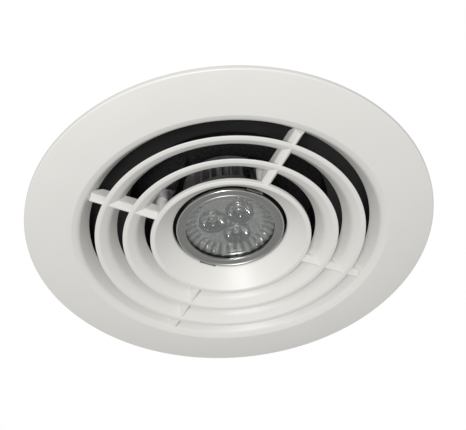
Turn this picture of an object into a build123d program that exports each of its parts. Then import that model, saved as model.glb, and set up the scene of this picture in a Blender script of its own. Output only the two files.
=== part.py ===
from build123d import *
import os
from math import cos, degrees, hypot, radians, sin

# Round ceiling grille for a ducted fan, with an LED spot lamp in its centre.
# Millimetres. z = 0 is the ceiling's face, the room is below it and the duct above,
# and the origin is the centre of the round hole in the ceiling.

# ---- Grille moulding ----
FLANGE_R = 93.0  # outside of the flange
FLANGE_EDGE = 2.3  # height of the flange's rim
FLANGE_ROUND = 0.8
FACE_Z = -5.0  # plane of the two blades' front lands
CREASE_Z = -4.7  # where the flange meets the inner lip
DEEP_Z = 2.8  # deep edge of the blades
LIP_DEEP_Z = 2.6
PITCH = 12.45  # radial step from one ring to the next
LAND = 2.0  # flat front land of a ring
BLADE_RUN = 7.9  # how far a blade goes inwards from its land
SHOULDER_RUN = 4.1  # the shallow part of that
SHOULDER_Z = -2.4
LIP_RUN = 7.8
LIP_SHOULDER_RUN = 3.2
LIP_SHOULDER_Z = -3.6
BLADE = 2.0  # wall thickness of a blade
BLADE_EDGE = 0.6  # height of its outer edge
BEZEL_R = 36.8  # outside of the central bezel ring
BEZEL_Z = -4.7
LAMP_HOLE_R = 26.5
LAMP_HOLE_Z = 3.4  # front edge of the lamp hole
BEZEL_WALL = 2.0
SKIRT_R = 69.6  # rear skirt that the duct adaptor slides over
SKIRT_WALL = 2.0
SKIRT_TOP = 10.0
RIBS = 4
RIB_AZIMUTH = 28.1
RIB_FRONT_Z = -4.6
RIB_BACK_Z = 2.4
RIB_RIDGE = 1.0  # width of a rib's front edge
RIB_WIDTH = 4.4
RIB_SLOPE_Z = -2.0  # where a rib's sloping sides turn upright
BOSS_CIRCLE_R = 34.0  # four screw bosses behind the bezel, one on each rib
BOSS_R = 2.8
BOSS_TOP = 8.0
PILOT_R = 1.15

# ---- Ceiling seal ----
GASKET_IN = 82.0
GASKET_OUT = 89.0
GASKET_H = 1.2
GASKET_GAP = 0.1

# ---- Duct adaptor ----
COLLAR_IN = 69.8
WALL = 2.0
COLLAR_BASE = 0.4
COLLAR_TOP = 18.0  # outer face of the flat annular top
SPIGOT_R = 49.0
SPIGOT_TOP = 42.0
SPIGOT_WALL = 1.8
ADAPTOR_SCREW_Z = 6.0
ADAPTOR_SCREW_AZIMUTH = RIB_AZIMUTH + 45

# ---- Cable grommet ----
GROMMET_AZIMUTH = RIB_AZIMUTH + 90
GROMMET_CIRCLE_R = 60.0
GROMMET_HOLE_R = 5.0
GROMMET_FLANGE_R = 7.0
GROMMET_BORE_R = 3.2
GROMMET_FLANGE = 1.5

# ---- Ceiling clips, in radial planes with their origin on the hinge pin ----
CLIP_AZIMUTHS = {"a": 88.1, "b": 208.1, "c": 328.1}
PIVOT_R = 76.0
PIVOT_Z = 9.5
PAD_FACE_R = 73.0
SHEET = 1.0
EAR_OUT = 7.5  # outside of a bracket ear, from the middle
PIN_R = 1.0
PIN_CLEARANCE = 0.06
ARM_SHEET = 0.8
ARM_HALF = 6.2
ARM_WINDOW = 3.1  # half width of the window for the spring
ARM_LENGTH = 13.0
ARM_ANGLE = -25.0  # rest position, on the stops
COIL_R = 1.63  # mean radius of the torsion spring
WIRE_R = 0.35
RIVET_R = 1.2
COIL_LENGTH = 4.8

# ---- Lamp support ----
STRAP = 1.2
STRAP_WIDTH = 16.0
STRAP_FOOT_R = 38.0
STRAP_KNEE_R = 30.5
STRAP_TOP_R = 19.5
STRAP_TOP_Z = 51.2  # upper face of the strap
SPRING_SHEET = 0.5
SPRING_WIDTH = 8.0
SPRING_SLOT = 3.0
SPRING_TOP = 22.0
SPRING_R = 25.4  # face next to the lamp
HOLDER_LONG = 19.0
HOLDER_WIDE = 9.5
HOLDER_BASE = 38.4
PIN_PITCH = 5.33  # standard bi-pin spacing
LAMP_PIN_R = 0.78
HOLDER_SCREW_PITCH = 12.0
FILTER_Z = 35.0  # underside of the foam filter
FILTER_H = 6.0
FILTER_HOLE_R = 12.0
FILTER_GAP = 0.2  # between the foam and each strap leg

# ---- Terminal box ----
BOX_X = 34.0
BOX_Y0 = -13.0
BOX_Y1 = 21.0
BOX_WALL = 1.6
BOX_TOP = 67.0
BLOCK_X = 17.0
BLOCK_Y0 = 9.6
BLOCK_Y1 = 19.2
BLOCK_H = 9.6
TERMINAL_X = 4.1  # half the spacing of the two poles
LEAD_R = 0.8
LEAD_Z = 57.6
CLAMP_X = 11.5
CLAMP_Y = -4.6
CLAMP_POST = 4.9
CABLE_R = 2.8

# ---- Lamp ----
LAMP_R = 25.0
LAMP_Z = 2.2  # front of the lamp's rim
WINDOW_R = 20.8
GLASS_Z = 3.8
GLASS_T = 1.0
CUP_IN = 22.8
BOARD_Z = 12.5
SINK_TOP = 30.0
SINK_TOP_R = 21.5
FINS = 30
LENS_R = 6.5
LENS_CIRCLE_R = 7.9
LENS_AZIMUTH = -172.5
PLUG_R = 12.4
BASE_R = 10.5
BASE_TOP = 38.0
PIN_TOP = 45.5

crease_r = BEZEL_R + 3 * PITCH - LAND
blade_rs = [BEZEL_R + PITCH, BEZEL_R + 2 * PITCH]
collar_out = COLLAR_IN + WALL
strap_axis = (cos(radians(RIB_AZIMUTH)), sin(radians(RIB_AZIMUTH)), 0)
os.makedirs("parts", exist_ok=True)


def radial_plane(azimuth, origin_r=0.0, origin_z=0.0):
    """Upright plane through the axis: x is outwards and y is up."""
    a = radians(azimuth)
    out = Vector(cos(a), sin(a), 0)
    return Plane(origin=out * origin_r + Vector(0, 0, origin_z), x_dir=out, z_dir=(sin(a), -cos(a), 0))


def facing_plane(azimuth, r, z=0.0):
    """Plane across a radius at distance r, facing outwards: x is along the circle and y is up."""
    a = radians(azimuth)
    return Plane(origin=(r * cos(a), r * sin(a), z), x_dir=(-sin(a), cos(a), 0), z_dir=(cos(a), sin(a), 0))


def strap_plane(z):
    """Level plane at height z, with x along the lamp strap."""
    return Plane(origin=(0, 0, z), x_dir=strap_axis, z_dir=(0, 0, 1))


def save(piece, name):
    """Name a finished piece and write it."""
    piece.part.label = name
    export_step(piece.part, f"parts/{name}.step")


def pan_screw(planes, shank_r, length, head_r, head_h):
    """One piece per plane: a cross-recessed pan-head screw whose head sits on the plane, shank behind it."""
    with BuildPart() as screws:
        for plane in planes:
            with BuildSketch(plane):
                Circle(head_r)
            extrude(amount=head_h)
            fillet(screws.edges().filter_by(GeomType.CIRCLE).sort_by_distance(
                plane.from_local_coords((0, 0, head_h)))[0], 0.3 * head_h)
            with BuildSketch(plane.offset(head_h)):
                Rectangle(1.3 * head_r, 0.3 * head_r)
                Rectangle(0.3 * head_r, 1.3 * head_r)
            extrude(amount=-0.5 * head_h, mode=Mode.SUBTRACT)
            with BuildSketch(plane):
                Circle(shank_r)
            extrude(amount=-length)
    return screws


# ---- Grille moulding: flange, lip, two blades, bezel, ribs and bosses in one piece ----
def blade_outline(outer_r):
    """Corners of a blade's section: front land, shallow shoulder, then a steep cone up to its deep edge."""
    shoulder_r = outer_r - LAND - SHOULDER_RUN
    deep_r = outer_r - LAND - BLADE_RUN
    run = shoulder_r - deep_r
    rise = DEEP_Z - SHOULDER_Z
    back_r = deep_r + BLADE * rise / hypot(run, rise)
    back_z = DEEP_Z + BLADE * run / hypot(run, rise)
    back_shoulder_z = SHOULDER_Z + 0.8 * BLADE
    return [
        (outer_r, FACE_Z),
        (outer_r - LAND, FACE_Z),
        (shoulder_r, SHOULDER_Z),
        (deep_r, DEEP_Z),
        (back_r, back_z),
        (back_r + (back_z - back_shoulder_z) * run / rise, back_shoulder_z),
        (outer_r, FACE_Z + BLADE_EDGE),
    ]


skirt_in = SKIRT_R - SKIRT_WALL
lip_deep_r = crease_r - LIP_RUN
lip_slope = (LIP_DEEP_Z - LIP_SHOULDER_Z) / (LIP_RUN - LIP_SHOULDER_RUN)
lip_back_r = lip_deep_r + 1.1
lip_back_z = LIP_DEEP_Z + 1.0
flange_mid = ((crease_r + FLANGE_R) / 2, (CREASE_Z - FLANGE_EDGE) / 2 - 0.45)
recess_in = 73.6
recess_out = 80.6
rib_in = LAMP_HOLE_R + 3.0
with BuildPart(mode=Mode.PRIVATE) as rib:
    with BuildSketch(facing_plane(0, rib_in)):
        Polygon(
            (-RIB_RIDGE / 2, RIB_FRONT_Z),
            (RIB_RIDGE / 2, RIB_FRONT_Z),
            (RIB_WIDTH / 2, RIB_SLOPE_Z),
            (RIB_WIDTH / 2, RIB_BACK_Z),
            (-RIB_WIDTH / 2, RIB_BACK_Z),
            (-RIB_WIDTH / 2, RIB_SLOPE_Z),
            align=None,
        )
    extrude(amount=crease_r + 0.1 - rib_in)
    with BuildSketch(radial_plane(0)):
        Polygon(
            (BEZEL_R - 1.3, RIB_FRONT_Z),
            (crease_r + 0.1, RIB_FRONT_Z),
            (crease_r - 1.6, -2.2),
            (skirt_in - 0.1, -0.5),
            (skirt_in - 0.1, RIB_BACK_Z),
            (rib_in, RIB_BACK_Z),
            align=None,
        )
    extrude(amount=RIB_WIDTH, both=True, mode=Mode.INTERSECT)
with BuildPart() as grille:
    with BuildSketch(Plane.XZ):
        with BuildLine():
            ThreePointArc((crease_r, CREASE_Z), flange_mid, (FLANGE_R - FLANGE_ROUND, -FLANGE_EDGE))
            RadiusArc((FLANGE_R - FLANGE_ROUND, -FLANGE_EDGE), (FLANGE_R, FLANGE_ROUND - FLANGE_EDGE), -FLANGE_ROUND)
            Polyline(
                (FLANGE_R, FLANGE_ROUND - FLANGE_EDGE),
                (FLANGE_R, 0),
                (GASKET_OUT + GASKET_GAP, 0),
                (GASKET_OUT + GASKET_GAP, -GASKET_H),
                (GASKET_IN - GASKET_GAP, -GASKET_H),
                (GASKET_IN - GASKET_GAP, 0),
                (recess_out, 0),
                (recess_out, -1.6),
                (recess_in, -2.4),
                (recess_in, 0),
                (skirt_in, 0),
                (skirt_in, lip_back_z - (skirt_in - lip_back_r) * lip_slope),
                (lip_back_r, lip_back_z),
                (lip_deep_r, LIP_DEEP_Z),
                (crease_r - LIP_SHOULDER_RUN, LIP_SHOULDER_Z),
                (crease_r, CREASE_Z),
            )
        make_face()
    revolve(axis=Axis.Z)
    for blade_r in blade_rs:
        with BuildSketch(Plane.XZ) as section:
            Polygon(*blade_outline(blade_r), align=None)
            fillet(section.vertices(), 0.35)
        revolve(axis=Axis.Z)
    bezel_rise = LAMP_HOLE_Z - BEZEL_Z
    with BuildSketch(Plane.XZ) as section:
        Polygon(
            (BEZEL_R, BEZEL_Z),
            (BEZEL_R - LAND, BEZEL_Z),
            (LAMP_HOLE_R, LAMP_HOLE_Z),
            (LAMP_HOLE_R, LAMP_HOLE_Z + BEZEL_WALL),
            (LAMP_HOLE_R + BEZEL_WALL, LAMP_HOLE_Z + BEZEL_WALL),
            (BEZEL_R, LAMP_HOLE_Z + BEZEL_WALL - bezel_rise),
            align=None,
        )
        fillet(section.vertices(), 0.35)
    revolve(axis=Axis.Z)
    with PolarLocations(0, RIBS, start_angle=RIB_AZIMUTH):
        add(rib.part)
    for k in range(RIBS):
        boss_place = radial_plane(RIB_AZIMUTH + 360 / RIBS * k).from_local_coords((BOSS_CIRCLE_R, 0, 0))
        with BuildSketch(Plane.XY.offset(0.6)):
            with Locations((boss_place.X, boss_place.Y)):
                Circle(BOSS_R)
        extrude(amount=BOSS_TOP - 0.6)
        with BuildSketch(Plane.XY.offset(BOSS_TOP)):
            with Locations((boss_place.X, boss_place.Y)):
                Circle(PILOT_R)
        extrude(amount=-6.0, mode=Mode.SUBTRACT)
save(grille, "grille_moulding")

# ---- Rear skirt: a ring welded to the flange's back, which the adaptor slides over ----
with BuildPart() as skirt:
    with BuildSketch():
        Circle(SKIRT_R)
        Circle(skirt_in, mode=Mode.SUBTRACT)
    extrude(amount=SKIRT_TOP)
    chamfer(skirt.edges().group_by(Axis.Z)[-1], 0.4)
    for k in range(RIBS):
        with BuildSketch(facing_plane(ADAPTOR_SCREW_AZIMUTH + 360 / RIBS * k, SKIRT_R + 1, ADAPTOR_SCREW_Z)):
            Circle(PILOT_R)
        extrude(amount=-SKIRT_WALL - 2, mode=Mode.SUBTRACT)
save(skirt, "grille_skirt")

# ---- Foam gasket, flush in the groove in the flange's back ----
with BuildPart() as gasket:
    with BuildSketch(Plane.XY.offset(-GASKET_H)):
        Circle(GASKET_OUT)
        Circle(GASKET_IN, mode=Mode.SUBTRACT)
    extrude(amount=GASKET_H)
save(gasket, "foam_gasket")

# ---- Duct adaptor: a collar over the skirt, an annular plate welded into it, and the spigot on the plate ----
spigot_in = SPIGOT_R - SPIGOT_WALL
rivet_z = PIVOT_Z + 3.3
RIVET_SPOTS = [(-4.4, 0), (4.4, 0)]
grommet_place = radial_plane(GROMMET_AZIMUTH).from_local_coords((GROMMET_CIRCLE_R, 0, 0))
grommet_spot = (grommet_place.X, grommet_place.Y)
with BuildPart() as collar:
    with BuildSketch(Plane.XZ) as section:
        Polygon(
            (COLLAR_IN, COLLAR_BASE),
            (collar_out, COLLAR_BASE),
            (collar_out, COLLAR_TOP),
            (COLLAR_IN, COLLAR_TOP),
            align=None,
        )
        fillet(section.vertices().group_by(Axis.X)[-1].sort_by(Axis.Y)[-1], 1.5)
    revolve(axis=Axis.Z)
    for azimuth in CLIP_AZIMUTHS.values():
        with BuildSketch(facing_plane(azimuth, collar_out - 1.3, 9.0)):
            Rectangle(16, 14)
        extrude(amount=PAD_FACE_R - collar_out + 1.3)
        with BuildSketch(facing_plane(azimuth, PAD_FACE_R, rivet_z)):
            with Locations(*RIVET_SPOTS):
                Circle(RIVET_R + 0.05)
        extrude(amount=-5, mode=Mode.SUBTRACT)
    for k in range(RIBS):
        azimuth = ADAPTOR_SCREW_AZIMUTH + 360 / RIBS * k
        with BuildSketch(facing_plane(azimuth, collar_out - 1.3, ADAPTOR_SCREW_Z)):
            Circle(4.0)
        extrude(amount=2.0)
        with BuildSketch(facing_plane(azimuth, collar_out + 2, ADAPTOR_SCREW_Z)):
            Circle(1.6)
        extrude(amount=-6, mode=Mode.SUBTRACT)
save(collar, "adaptor_collar")

with BuildPart() as top_plate:
    with BuildSketch(Plane.XY.offset(COLLAR_TOP)):
        Circle(COLLAR_IN)
        Circle(spigot_in, mode=Mode.SUBTRACT)
        with Locations(grommet_spot):
            Circle(GROMMET_HOLE_R, mode=Mode.SUBTRACT)
    extrude(amount=-WALL)
save(top_plate, "adaptor_plate")

with BuildPart() as spigot:
    with BuildSketch(Plane.XY.offset(COLLAR_TOP)):
        Circle(SPIGOT_R)
        Circle(spigot_in, mode=Mode.SUBTRACT)
    extrude(amount=SPIGOT_TOP - COLLAR_TOP)
    chamfer(spigot.edges().group_by(Axis.Z)[-1].sort_by(SortBy.LENGTH)[-1], 0.6)
save(spigot, "duct_spigot")

# ---- Self-tapping screws through the adaptor's collar into the skirt ----
screw_face_r = collar_out + 0.7
adaptor_screws = pan_screw(
    [facing_plane(ADAPTOR_SCREW_AZIMUTH + 360 / RIBS * k, screw_face_r, ADAPTOR_SCREW_Z) for k in range(RIBS)],
    1.1, 5.5, 2.4, 1.6)
save(adaptor_screws, "adaptor_screws")

# ---- Rubber grommet where the supply cable enters ----
with BuildPart() as grommet:
    for base, height, radius in (
        (COLLAR_TOP, GROMMET_FLANGE, GROMMET_FLANGE_R),
        (COLLAR_TOP - WALL, WALL, GROMMET_HOLE_R - 0.05),
        (COLLAR_TOP - WALL - GROMMET_FLANGE, GROMMET_FLANGE, GROMMET_FLANGE_R),
    ):
        with BuildSketch(Plane.XY.offset(base)):
            with Locations(grommet_spot):
                Circle(radius)
        extrude(amount=height)
    fillet(grommet.edges().filter_by(GeomType.CIRCLE).group_by(Axis.Z)[-1], 0.5)
    with BuildSketch(Plane.XY.offset(COLLAR_TOP + GROMMET_FLANGE)):
        with Locations(grommet_spot):
            Circle(GROMMET_BORE_R)
    extrude(amount=-WALL - 2 * GROMMET_FLANGE, mode=Mode.SUBTRACT)
save(grommet, "cable_grommet")


# ---- Ceiling clips: riveted bracket, hinge pin, torsion spring, sprung arm and its tip pad ----
def clip_bracket(plane):
    """U-shaped sheet bracket: base on the adaptor's pad, two ears for the pin, a stop lug on each ear."""
    base_x = PAD_FACE_R - PIVOT_R
    with BuildPart() as piece:
        with BuildSketch(plane):
            with Locations((base_x + SHEET / 2, -1)):
                Rectangle(SHEET, 12)
        extrude(amount=EAR_OUT, both=True)
        for side in (-1, 1):
            with BuildSketch(plane.offset(side * EAR_OUT)):
                Polygon((base_x, -7), (0.6, -7), (2.2, -4.5), (2.2, 2.2), (0, 3.6), (base_x, 5), align=None)
            extrude(amount=-side * SHEET)
            with BuildSketch(plane.offset(side * (EAR_OUT - SHEET))):
                Polygon((-2, -4.1), (1.6, -4.1), (1.6, -3.1), (-2, -3.1), align=None)
            extrude(amount=-side * 3.3)
        with BuildSketch(plane):
            Circle(PIN_R + 0.02)
        extrude(amount=EAR_OUT + 1, both=True, mode=Mode.SUBTRACT)
        rivet_origin = plane.from_local_coords((base_x, rivet_z - PIVOT_Z, 0))
        with BuildSketch(Plane(origin=rivet_origin, x_dir=plane.z_dir, z_dir=plane.x_dir)):
            with Locations(*RIVET_SPOTS):
                Circle(RIVET_R + 0.05)
        extrude(amount=SHEET + 1, mode=Mode.SUBTRACT)
    return piece


def clip_pin(plane):
    """Hinge pin with a head at each end."""
    with BuildPart() as piece:
        with BuildSketch(plane):
            Circle(PIN_R)
        extrude(amount=EAR_OUT + 0.3, both=True)
        for side in (-1, 1):
            with BuildSketch(plane.offset(side * (EAR_OUT + 0.05))):
                Circle(1.7)
            extrude(amount=side * 0.8)
    return piece


def arm_plane(plane):
    """The clip's plane turned so that x runs along the arm at rest."""
    return Plane(plane.location * Location((0, 0, 0), (0, 0, ARM_ANGLE)))


def clip_arm(plane):
    """Spring-steel arm: two rolled eyes on the pin, a blade with a window for the spring, and a turned tip."""
    eye_in = PIN_R + PIN_CLEARANCE
    eye_out = eye_in + ARM_SHEET
    along = arm_plane(plane)
    with BuildPart() as piece:
        with BuildSketch(along):
            Circle(eye_out)
            with Locations((ARM_LENGTH / 2, -eye_in - ARM_SHEET / 2)):
                Rectangle(ARM_LENGTH, ARM_SHEET)
            Circle(eye_in, mode=Mode.SUBTRACT)
        extrude(amount=ARM_HALF, both=True)
        with BuildSketch(along):
            with Locations((0.5, 0)):
                Rectangle(6, 8)
        extrude(amount=ARM_WINDOW, both=True, mode=Mode.SUBTRACT)
    return piece


def clip_pad(plane):
    """Moulded cap over the arm's tip, which bears on the back of the ceiling board."""
    blade_y = -PIN_R - PIN_CLEARANCE - ARM_SHEET / 2
    along = arm_plane(plane)
    with BuildPart() as piece:
        with BuildSketch(along):
            with Locations((ARM_LENGTH - 2.6, blade_y)):
                RectangleRounded(7.6, 3.2, 1.2)
        extrude(amount=ARM_HALF + 1, both=True)
        with BuildSketch(along):
            with Locations((ARM_LENGTH / 2, blade_y)):
                Rectangle(ARM_LENGTH, ARM_SHEET)
        extrude(amount=ARM_HALF, both=True, mode=Mode.SUBTRACT)
    return piece


# Torsion spring round the pin: one leg down the bracket's base, one leg out over the arm.
# It is wound about Z with its first leg leaving at +X, and then turned into place.
spring_reach = 5.4
spring_drop = degrees((COIL_R + PIN_R + PIN_CLEARANCE - WIRE_R - 0.02) / spring_reach)
spring_start = 90 + ARM_ANGLE - spring_drop
spring_turns = 5 + (180 - spring_start) / 360
with BuildPart() as torsion_spring:
    with BuildLine() as path:
        Helix(pitch=COIL_LENGTH / spring_turns, height=COIL_LENGTH, radius=COIL_R)
    with BuildSketch(Plane(origin=path.line @ 0, z_dir=path.line % 0)):
        Circle(WIRE_R)
    sweep(is_frenet=True)
    with BuildSketch(Plane(origin=path.line @ 0, z_dir=-(path.line % 0))):
        Circle(WIRE_R)
    extrude(amount=spring_reach)
    with BuildSketch(Plane(origin=path.line @ 1, z_dir=path.line % 1)):
        Circle(WIRE_R)
    extrude(amount=5.5)


def clip_spring(plane):
    """The torsion spring in its place on a clip's hinge pin."""
    with BuildPart() as piece:
        turned = plane.offset(-COIL_LENGTH / 2).location * Location((0, 0, 0), (0, 0, spring_start))
        add(torsion_spring.part.moved(turned))
    return piece


clip_planes = {name: radial_plane(a, PIVOT_R, PIVOT_Z) for name, a in CLIP_AZIMUTHS.items()}
for name, plane in clip_planes.items():
    save(clip_bracket(plane), f"clip_bracket_{name}")
    save(clip_pin(plane), f"clip_pin_{name}")
    save(clip_arm(plane), f"clip_arm_{name}")
    save(clip_pad(plane), f"clip_pad_{name}")
    save(clip_spring(plane), f"clip_spring_{name}")

# ---- Rivets that hold the clip brackets to the adaptor ----
RIVET_LENGTH = PAD_FACE_R + SHEET - COLLAR_IN + 0.35
with BuildPart() as rivets:
    for azimuth in CLIP_AZIMUTHS.values():
        seat = facing_plane(azimuth, PAD_FACE_R + SHEET, rivet_z)
        for plane, radius, length in (
            (seat, RIVET_R + 0.4, 0.6),
            (seat, RIVET_R, -RIVET_LENGTH),
            (seat.offset(-RIVET_LENGTH), RIVET_R + 0.6, -0.8),
        ):
            with BuildSketch(plane):
                with Locations(*RIVET_SPOTS):
                    Circle(radius)
            extrude(amount=length)
save(rivets, "clip_rivets")

# ---- Lamp strap: a U of zinc-plated steel over the lamp, screwed to two bosses ----
strap_upright = radial_plane(RIB_AZIMUTH)
strap_under = STRAP_TOP_Z - STRAP
with BuildPart() as strap:
    with BuildSketch(strap_upright):
        with BuildLine():
            FilletPolyline(
                (-STRAP_FOOT_R, BOSS_TOP),
                (-STRAP_KNEE_R, BOSS_TOP),
                (-STRAP_TOP_R, strap_under),
                (STRAP_TOP_R, strap_under),
                (STRAP_KNEE_R, BOSS_TOP),
                (STRAP_FOOT_R, BOSS_TOP),
                radius=1.6,
            )
            offset(amount=STRAP, side=Side.LEFT)
        make_face()
    extrude(amount=STRAP_WIDTH / 2, both=True)
    with BuildSketch(strap_plane(BOSS_TOP - 1)):
        with Locations((-BOSS_CIRCLE_R, 0), (BOSS_CIRCLE_R, 0)):
            Circle(1.4)
    extrude(amount=STRAP + 2, mode=Mode.SUBTRACT)
    with BuildSketch(strap_plane(strap_under - 1)):
        with Locations((-HOLDER_SCREW_PITCH / 2, 0), (HOLDER_SCREW_PITCH / 2, 0)):
            Circle(1.35)
        with Locations((0, -PIN_PITCH / 2), (0, PIN_PITCH / 2)):
            Circle(1.6)
    extrude(amount=STRAP + 2, mode=Mode.SUBTRACT)
save(strap, "lamp_strap")

# ---- Foam dust filter in the spigot, with a hole for the lamp's base and a slit for each strap leg ----
leg_slope = (STRAP_KNEE_R - STRAP_TOP_R) / (strap_under - BOSS_TOP)
leg_out = STRAP * hypot(1, leg_slope) + FILTER_GAP


def leg_r(z):
    """Distance of a strap leg's inner face from the axis, at height z."""
    return STRAP_KNEE_R - (z - BOSS_TOP) * leg_slope


with BuildPart() as dust_filter:
    with BuildSketch(Plane.XY.offset(FILTER_Z)):
        Circle(spigot_in - 0.1)
        Circle(FILTER_HOLE_R, mode=Mode.SUBTRACT)
    extrude(amount=FILTER_H)
    for side in (-1, 1):
        with BuildSketch(strap_upright):
            Polygon(
                (side * (leg_r(FILTER_Z - 1) - FILTER_GAP), FILTER_Z - 1),
                (side * (leg_r(FILTER_Z - 1) + leg_out), FILTER_Z - 1),
                (side * (leg_r(FILTER_Z + FILTER_H + 1) + leg_out), FILTER_Z + FILTER_H + 1),
                (side * (leg_r(FILTER_Z + FILTER_H + 1) - FILTER_GAP), FILTER_Z + FILTER_H + 1),
                align=None,
            )
        extrude(amount=STRAP_WIDTH / 2 + FILTER_GAP, both=True, mode=Mode.SUBTRACT)
save(dust_filter, "foam_filter")

# ---- Lamp springs: slotted hairpin leaves whose tips stand beside the lamp's rim ----
SPRING_AZIMUTHS = {"near": RIB_AZIMUTH - 90, "far": RIB_AZIMUTH + 90}
spring_face_r = SPRING_R + SPRING_SHEET
for name, azimuth in SPRING_AZIMUTHS.items():
    with BuildPart() as leaf:
        with BuildSketch(radial_plane(azimuth)):
            with BuildLine():
                FilletPolyline(
                    (STRAP_FOOT_R - 0.8, BOSS_TOP),
                    (STRAP_KNEE_R + 0.6, BOSS_TOP),
                    (spring_face_r + 3.2, SPRING_TOP),
                    (spring_face_r, SPRING_TOP),
                    (spring_face_r, LAMP_Z + 0.4),
                    radius=1.1,
                )
                offset(amount=SPRING_SHEET, side=Side.LEFT)
            make_face()
        extrude(amount=SPRING_WIDTH / 2, both=True)
        with BuildSketch(facing_plane(azimuth, spring_face_r + 1, (SPRING_TOP + LAMP_Z) / 2 + 0.6)):
            RectangleRounded(SPRING_SLOT, SPRING_TOP - LAMP_Z - 6, 1.2)
        extrude(amount=-3, mode=Mode.SUBTRACT)
        foot = radial_plane(azimuth).from_local_coords((BOSS_CIRCLE_R, 0, 0))
        with BuildSketch(Plane.XY.offset(BOSS_TOP - 1)):
            with Locations((foot.X, foot.Y)):
                Circle(1.3)
        extrude(amount=3, mode=Mode.SUBTRACT)
    save(leaf, f"lamp_spring_{name}")

# ---- Screws that hold the strap's feet and the two springs to the bosses ----
boss_seats = []
for k in range(RIBS):
    seat_z = BOSS_TOP + (STRAP if k % 2 == 0 else SPRING_SHEET)
    boss_seats.append(Plane(radial_plane(RIB_AZIMUTH + 360 / RIBS * k).from_local_coords((BOSS_CIRCLE_R, seat_z, 0))))
save(pan_screw(boss_seats, PILOT_R - 0.05, 6.0, 2.0, 1.4), "boss_screws")

# ---- Lampholder: ceramic block under the strap, with two contact tubes for the lamp's pins ----
holder_screw_spots = [(-HOLDER_SCREW_PITCH / 2, 0), (HOLDER_SCREW_PITCH / 2, 0)]
pin_spots = [(0, -PIN_PITCH / 2), (0, PIN_PITCH / 2)]
CONTACT_BASE = 40.0
CONTACT_TOP = 48.0
CONTACT_OUT = 1.5
SCREW_SEAT = 1.8
with BuildPart() as holder:
    with BuildSketch(strap_plane(HOLDER_BASE)):
        RectangleRounded(HOLDER_LONG, HOLDER_WIDE, 2.0)
    extrude(amount=strap_under - HOLDER_BASE)
    chamfer(holder.edges().group_by(Axis.Z)[0], 0.5)
    with BuildSketch(strap_plane(HOLDER_BASE)):
        with Locations(*pin_spots):
            Circle(1.05)
        with Locations(*holder_screw_spots):
            Circle(1.35)
    extrude(amount=strap_under - HOLDER_BASE, mode=Mode.SUBTRACT)
    with BuildSketch(strap_plane(HOLDER_BASE)):
        with Locations(*holder_screw_spots):
            Circle(2.6)
    extrude(amount=SCREW_SEAT, mode=Mode.SUBTRACT)
    with BuildSketch(strap_plane(CONTACT_BASE)):
        with Locations(*pin_spots):
            Circle(CONTACT_OUT + 0.05)
    extrude(amount=strap_under - CONTACT_BASE, mode=Mode.SUBTRACT)
save(holder, "lampholder")

with BuildPart() as contacts:
    with BuildSketch(strap_plane(CONTACT_BASE)):
        with Locations(*pin_spots):
            Circle(CONTACT_OUT)
            Circle(LAMP_PIN_R + 0.07, mode=Mode.SUBTRACT)
    extrude(amount=CONTACT_TOP - CONTACT_BASE)
save(contacts, "lampholder_contacts")

BOX_FLOOR = STRAP_TOP_Z + BOX_WALL
NUT_H = 2.0
holder_seats = []
for spot in holder_screw_spots:
    centre = strap_plane(HOLDER_BASE + SCREW_SEAT).from_local_coords((*spot, 0))
    holder_seats.append(Plane(origin=centre, z_dir=(0, 0, -1)))
save(pan_screw(holder_seats, 1.2, BOX_FLOOR + NUT_H + 0.4 - HOLDER_BASE - SCREW_SEAT, 2.2, 1.5), "lampholder_screws")

with BuildPart() as nuts:
    with BuildSketch(strap_plane(BOX_FLOOR)):
        with Locations(*holder_screw_spots):
            RegularPolygon(2.5, 6, major_radius=False)
            Circle(1.25, mode=Mode.SUBTRACT)
    extrude(amount=NUT_H)
save(nuts, "lampholder_nuts")

# ---- Terminal box: open tray on the strap, with posts for the cable clamp, and its lid ----
box_mid_y = (BOX_Y0 + BOX_Y1) / 2
box_y = BOX_Y1 - BOX_Y0
block_mid_y = (BLOCK_Y0 + BLOCK_Y1) / 2
POST_TOP = 59.0
post_spots = [(CLAMP_X, CLAMP_Y - CLAMP_POST), (CLAMP_X, CLAMP_Y + CLAMP_POST)]
with BuildPart() as box:
    with BuildSketch(Plane.XY.offset(STRAP_TOP_Z)):
        with Locations((0, box_mid_y)):
            RectangleRounded(BOX_X, box_y, 3.0)
    extrude(amount=BOX_TOP - STRAP_TOP_Z)
    with BuildSketch(Plane.XY.offset(BOX_FLOOR)):
        with Locations((0, box_mid_y)):
            RectangleRounded(BOX_X - 2 * BOX_WALL, box_y - 2 * BOX_WALL, 1.6)
    extrude(amount=BOX_TOP - BOX_FLOOR, mode=Mode.SUBTRACT)
    with BuildSketch(strap_plane(STRAP_TOP_Z)):
        with Locations(*holder_screw_spots):
            Circle(1.35)
        with Locations(*pin_spots):
            Circle(1.6)
    extrude(amount=BOX_WALL, mode=Mode.SUBTRACT)
    with BuildSketch(Plane.XY.offset(STRAP_TOP_Z)):
        with Locations((0, block_mid_y)):
            Circle(1.2)
    extrude(amount=BOX_WALL, mode=Mode.SUBTRACT)
    with BuildSketch(Plane.XY.offset(BOX_FLOOR)):
        with Locations(*post_spots):
            Circle(1.8)
    extrude(amount=POST_TOP - BOX_FLOOR)
    with BuildSketch(Plane.XY.offset(POST_TOP)):
        with Locations(*post_spots):
            Circle(1.05)
    extrude(amount=-5.5, mode=Mode.SUBTRACT)
    with BuildSketch(Plane.YZ.offset(BOX_X / 2 + 1)):
        with Locations((CLAMP_Y, BOX_FLOOR + CABLE_R + 0.6)):
            Circle(CABLE_R + 0.3)
    extrude(amount=-BOX_WALL - 2, mode=Mode.SUBTRACT)
save(box, "terminal_box")

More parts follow.
